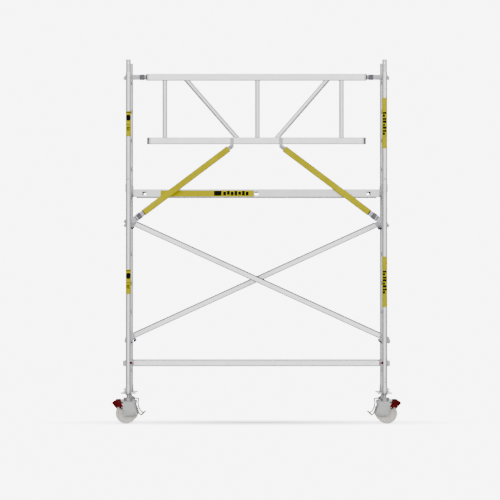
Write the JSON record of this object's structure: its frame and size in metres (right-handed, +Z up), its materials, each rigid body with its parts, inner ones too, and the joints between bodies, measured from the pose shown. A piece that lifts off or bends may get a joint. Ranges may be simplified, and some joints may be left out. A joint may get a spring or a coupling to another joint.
{
  "type": "mobile tower scaffold",
  "caption": "Narrow aluminium access tower on braked castors with ladder end frames, diagonal and base braces, a hatch platform and a front guardrail with yellow struts",
  "frame": {"origin": "on the floor under the middle of the tower, the bounding box's bottom centre", "axes": "+X along the bay towards the right-hand end frame seen from the guardrail side, +Y from the guardrail side to the back, +Z up"},
  "size_m": [2.768, 0.784, 3.482],
  "materials": {
    "tube": "satin",
    "casting": "matte",
    "zinc": "satin",
    "yellow": "satin",
    "dark_plastic": "matte",
    "black_plastic": "matte",
    "plywood": "satin",
    "dark_red": "satin",
    "blue": "gloss",
    "black_paint": "satin",
    "nylon": "matte"
  },
  "bodies": {
    "tower": {"brace_claws": "casting", "front_base_tube": "tube", "front_diagonal": "tube", "guardrail_caps": "black_plastic", "guardrail_claws": "casting", "guardrail_frame": "tube", "hatch_hinges": "zinc", "joint_spigots": "tube", "lock_pins": "zinc", "lower_left_frame": "tube", "lower_right_frame": "tube", "platform_beams": "tube", "platform_crossbars": "tube", "platform_deck": "plywood", "platform_hooks": "casting", "post_collars": "casting", "rear_base_tube": "tube", "rear_diagonal": "tube", "strut_brackets": "zinc", "upper_left_frame": "tube", "upper_right_frame": "tube"},
    "front_left_leg": {"front_left_leg_spindle": "zinc"},
    "front_left_nut": {"front_left_adjusting_nut": "zinc"},
    "front_left_fork": {"front_left_castor_fork": "zinc"},
    "front_left_roller": {"front_left_wheel": "nylon"},
    "front_left_pedal": {"front_left_brake_pedal": "dark_red"},
    "front_left_release": {"front_left_release_lever": "black_paint"},
    "front_right_leg": {"front_right_leg_spindle": "zinc"},
    "front_right_nut": {"front_right_adjusting_nut": "zinc"},
    "front_right_fork": {"front_right_castor_fork": "zinc"},
    "front_right_roller": {"front_right_wheel": "nylon"},
    "front_right_pedal": {"front_right_brake_pedal": "dark_red"},
    "front_right_release": {"front_right_release_lever": "black_paint"},
    "rear_left_leg": {"rear_left_leg_spindle": "zinc"},
    "rear_left_nut": {"rear_left_adjusting_nut": "zinc"},
    "rear_left_fork": {"rear_left_castor_fork": "zinc"},
    "rear_left_roller": {"rear_left_wheel": "nylon"},
    "rear_left_pedal": {"rear_left_brake_pedal": "dark_red"},
    "rear_left_release": {"rear_left_release_lever": "black_paint"},
    "rear_right_leg": {"rear_right_leg_spindle": "zinc"},
    "rear_right_nut": {"rear_right_adjusting_nut": "zinc"},
    "rear_right_fork": {"rear_right_castor_fork": "zinc"},
    "rear_right_roller": {"rear_right_wheel": "nylon"},
    "rear_right_pedal": {"rear_right_brake_pedal": "dark_red"},
    "rear_right_release": {"rear_right_release_lever": "black_paint"},
    "front_base_left_latch_body": {"front_base_left_latch": "dark_red"},
    "front_base_right_latch_body": {"front_base_right_latch": "dark_red"},
    "rear_base_left_latch_body": {"rear_base_left_latch": "dark_red"},
    "rear_base_right_latch_body": {"rear_base_right_latch": "dark_red"},
    "front_diagonal_left_latch_body": {"front_diagonal_left_latch": "blue"},
    "front_diagonal_right_latch_body": {"front_diagonal_right_latch": "blue"},
    "rear_diagonal_right_latch_body": {"rear_diagonal_right_latch": "blue"},
    "rear_diagonal_left_latch_body": {"rear_diagonal_left_latch": "blue"},
    "left_rail_sleeve_body": {"left_rail_sleeve": "dark_plastic"},
    "left_strut_body": {"left_strut": "yellow"},
    "left_strut_sleeve_body": {"left_strut_sleeve": "dark_plastic"},
    "right_rail_sleeve_body": {"right_rail_sleeve": "dark_plastic"},
    "right_strut_body": {"right_strut": "yellow"},
    "right_strut_sleeve_body": {"right_strut_sleeve": "dark_plastic"},
    "hatch_panel": {"hatch": "plywood"}
  },
  "joints": [
    {"name": "front_left_leg_slide", "type": "slide", "parent": "tower", "child": "front_left_leg", "axis": [0, 0, -1], "range_m": [0, 0.25]},
    {"name": "front_left_nut_turn", "type": "hinge", "parent": "tower", "child": "front_left_nut", "pos_m": [-1.225, -0.35, 0.29], "axis": [0, 0, 1], "continuous": true},
    {"name": "front_left_swivel", "type": "hinge", "parent": "front_left_leg", "child": "front_left_fork", "pos_m": [-1.225, -0.35, 0.225], "axis": [0, 0, 1], "continuous": true},
    {"name": "front_left_wheel_spin", "type": "hinge", "parent": "front_left_fork", "child": "front_left_roller", "pos_m": [-1.245, -0.35, 0.1], "axis": [0, 1, 0], "continuous": true},
    {"name": "front_left_brake_press", "type": "hinge", "parent": "front_left_fork", "child": "front_left_pedal", "pos_m": [-1.284, -0.35, 0.154], "axis": [0, -1, 0], "range_deg": [0, 18]},
    {"name": "front_left_release_swing", "type": "hinge", "parent": "front_left_fork", "child": "front_left_release", "pos_m": [-1.163, -0.35, 0.226], "axis": [0, -1, 0], "range_deg": [0, 12]},
    {"name": "front_right_leg_slide", "type": "slide", "parent": "tower", "child": "front_right_leg", "axis": [0, 0, -1], "range_m": [0, 0.25]},
    {"name": "front_right_nut_turn", "type": "hinge", "parent": "tower", "child": "front_right_nut", "pos_m": [1.225, -0.35, 0.29], "axis": [0, 0, 1], "continuous": true},
    {"name": "front_right_swivel", "type": "hinge", "parent": "front_right_leg", "child": "front_right_fork", "pos_m": [1.225, -0.35, 0.225], "axis": [0, 0, 1], "continuous": true},
    {"name": "front_right_wheel_spin", "type": "hinge", "parent": "front_right_fork", "child": "front_right_roller", "pos_m": [1.245, -0.35, 0.1], "axis": [0, 1, 0], "continuous": true},
    {"name": "front_right_brake_press", "type": "hinge", "parent": "front_right_fork", "child": "front_right_pedal", "pos_m": [1.284, -0.35, 0.154], "axis": [0, 1, 0], "range_deg": [0, 18]},
    {"name": "front_right_release_swing", "type": "hinge", "parent": "front_right_fork", "child": "front_right_release", "pos_m": [1.163, -0.35, 0.226], "axis": [0, 1, 0], "range_deg": [0, 12]},
    {"name": "rear_left_leg_slide", "type": "slide", "parent": "tower", "child": "rear_left_leg", "axis": [0, 0, -1], "range_m": [0, 0.25]},
    {"name": "rear_left_nut_turn", "type": "hinge", "parent": "tower", "child": "rear_left_nut", "pos_m": [-1.225, 0.35, 0.29], "axis": [0, 0, 1], "continuous": true},
    {"name": "rear_left_swivel", "type": "hinge", "parent": "rear_left_leg", "child": "rear_left_fork", "pos_m": [-1.225, 0.35, 0.225], "axis": [0, 0, 1], "continuous": true},
    {"name": "rear_left_wheel_spin", "type": "hinge", "parent": "rear_left_fork", "child": "rear_left_roller", "pos_m": [-1.245, 0.35, 0.1], "axis": [0, 1, 0], "continuous": true},
    {"name": "rear_left_brake_press", "type": "hinge", "parent": "rear_left_fork", "child": "rear_left_pedal", "pos_m": [-1.284, 0.35, 0.154], "axis": [0, -1, 0], "range_deg": [0, 18]},
    {"name": "rear_left_release_swing", "type": "hinge", "parent": "rear_left_fork", "child": "rear_left_release", "pos_m": [-1.163, 0.35, 0.226], "axis": [0, -1, 0], "range_deg": [0, 12]},
    {"name": "rear_right_leg_slide", "type": "slide", "parent": "tower", "child": "rear_right_leg", "axis": [0, 0, -1], "range_m": [0, 0.25]},
    {"name": "rear_right_nut_turn", "type": "hinge", "parent": "tower", "child": "rear_right_nut", "pos_m": [1.225, 0.35, 0.29], "axis": [0, 0, 1], "continuous": true},
    {"name": "rear_right_swivel", "type": "hinge", "parent": "rear_right_leg", "child": "rear_right_fork", "pos_m": [1.225, 0.35, 0.225], "axis": [0, 0, 1], "continuous": true},
    {"name": "rear_right_wheel_spin", "type": "hinge", "parent": "rear_right_fork", "child": "rear_right_roller", "pos_m": [1.245, 0.35, 0.1], "axis": [0, 1, 0], "continuous": true},
    {"name": "rear_right_brake_press", "type": "hinge", "parent": "rear_right_fork", "child": "rear_right_pedal", "pos_m": [1.284, 0.35, 0.154], "axis": [0, 1, 0], "range_deg": [0, 18]},
    {"name": "rear_right_release_swing", "type": "hinge", "parent": "rear_right_fork", "child": "rear_right_release", "pos_m": [1.163, 0.35, 0.226], "axis": [0, 1, 0], "range_deg": [0, 12]},
    {"name": "front_base_left_latch_turn", "type": "hinge", "parent": "tower", "child": "front_base_left_latch_body", "pos_m": [-1.184, -0.375, 0.5815], "axis": [0, 1, 0], "range_deg": [0, 75], "stiffness_Nm_per_rad": 0.1, "springref_deg": -11.46},
    {"name": "front_base_right_latch_turn", "type": "hinge", "parent": "tower", "child": "front_base_right_latch_body", "pos_m": [1.184, -0.375, 0.5815], "axis": [0, -1, 0], "range_deg": [0, 75], "stiffness_Nm_per_rad": 0.1, "springref_deg": -11.46},
    {"name": "rear_base_left_latch_turn", "type": "hinge", "parent": "tower", "child": "rear_base_left_latch_body", "pos_m": [-1.184, 0.375, 0.5815], "axis": [0, 1, 0], "range_deg": [0, 75], "stiffness_Nm_per_rad": 0.1, "springref_deg": -11.46},
    {"name": "rear_base_right_latch_turn", "type": "hinge", "parent": "tower", "child": "rear_base_right_latch_body", "pos_m": [1.184, 0.375, 0.5815], "axis": [0, -1, 0], "range_deg": [0, 75], "stiffness_Nm_per_rad": 0.1, "springref_deg": -11.46},
    {"name": "front_diagonal_left_latch_turn", "type": "hinge", "parent": "tower", "child": "front_diagonal_left_latch_body", "pos_m": [-1.19013, -0.2395, 1.88226], "axis": [0, -1, 0], "range_deg": [0, 40], "stiffness_Nm_per_rad": 0.15, "springref_deg": -11.46},
    {"name": "front_diagonal_right_latch_turn", "type": "hinge", "parent": "tower", "child": "front_diagonal_right_latch_body", "pos_m": [1.18348, -0.2395, 0.79719], "axis": [0, 1, 0], "range_deg": [0, 40], "stiffness_Nm_per_rad": 0.15, "springref_deg": -11.46},
    {"name": "rear_diagonal_right_latch_turn", "type": "hinge", "parent": "tower", "child": "rear_diagonal_right_latch_body", "pos_m": [1.19013, 0.2395, 1.88226], "axis": [0, 1, 0], "range_deg": [0, 40], "stiffness_Nm_per_rad": 0.15, "springref_deg": -11.46},
    {"name": "rear_diagonal_left_latch_turn", "type": "hinge", "parent": "tower", "child": "rear_diagonal_left_latch_body", "pos_m": [-1.18348, 0.2395, 0.79719], "axis": [0, -1, 0], "range_deg": [0, 40], "stiffness_Nm_per_rad": 0.15, "springref_deg": -11.46},
    {"name": "left_rail_sleeve_slide", "type": "slide", "parent": "tower", "child": "left_rail_sleeve_body", "axis": [1, 0, 0], "range_m": [0, 0.012], "stiffness_N_per_m": 500, "springref_m": -0.004},
    {"name": "left_strut_lift", "type": "hinge", "parent": "tower", "child": "left_strut_body", "pos_m": [-0.234, -0.31, 2.653], "axis": [0, 1, 0], "range_deg": [0, 4.5]},
    {"name": "left_strut_sleeve_slide", "type": "slide", "parent": "left_strut_body", "child": "left_strut_sleeve_body", "axis": [0.7989, 0, 0.6014], "range_m": [0, 0.012], "stiffness_N_per_m": 500, "springref_m": -0.004},
    {"name": "right_rail_sleeve_slide", "type": "slide", "parent": "tower", "child": "right_rail_sleeve_body", "axis": [-1, 0, 0], "range_m": [0, 0.012], "stiffness_N_per_m": 500, "springref_m": -0.004},
    {"name": "right_strut_lift", "type": "hinge", "parent": "tower", "child": "right_strut_body", "pos_m": [0.234, -0.31, 2.653], "axis": [0, -1, 0], "range_deg": [0, 4.5]},
    {"name": "right_strut_sleeve_slide", "type": "slide", "parent": "right_strut_body", "child": "right_strut_sleeve_body", "axis": [-0.7989, 0, 0.6014], "range_m": [0, 0.012], "stiffness_N_per_m": 500, "springref_m": -0.004},
    {"name": "hatch_turn", "type": "hinge", "parent": "tower", "child": "hatch_panel", "pos_m": [-0.66, 0.226, 2.2475], "axis": [-1, 0, 0], "range_deg": [0, 95]}
  ],
  "couplings": [
    {"joint": "front_left_nut_turn", "follows": "front_left_leg_slide", "rad_per_m": 628.32},
    {"joint": "front_left_release_swing", "follows": "front_left_brake_press", "ratio": 0.6},
    {"joint": "front_right_nut_turn", "follows": "front_right_leg_slide", "rad_per_m": 628.32},
    {"joint": "front_right_release_swing", "follows": "front_right_brake_press", "ratio": 0.6},
    {"joint": "rear_left_nut_turn", "follows": "rear_left_leg_slide", "rad_per_m": 628.32},
    {"joint": "rear_left_release_swing", "follows": "rear_left_brake_press", "ratio": 0.6},
    {"joint": "rear_right_nut_turn", "follows": "rear_right_leg_slide", "rad_per_m": 628.32},
    {"joint": "rear_right_release_swing", "follows": "rear_right_brake_press", "ratio": 0.6}
  ]
}
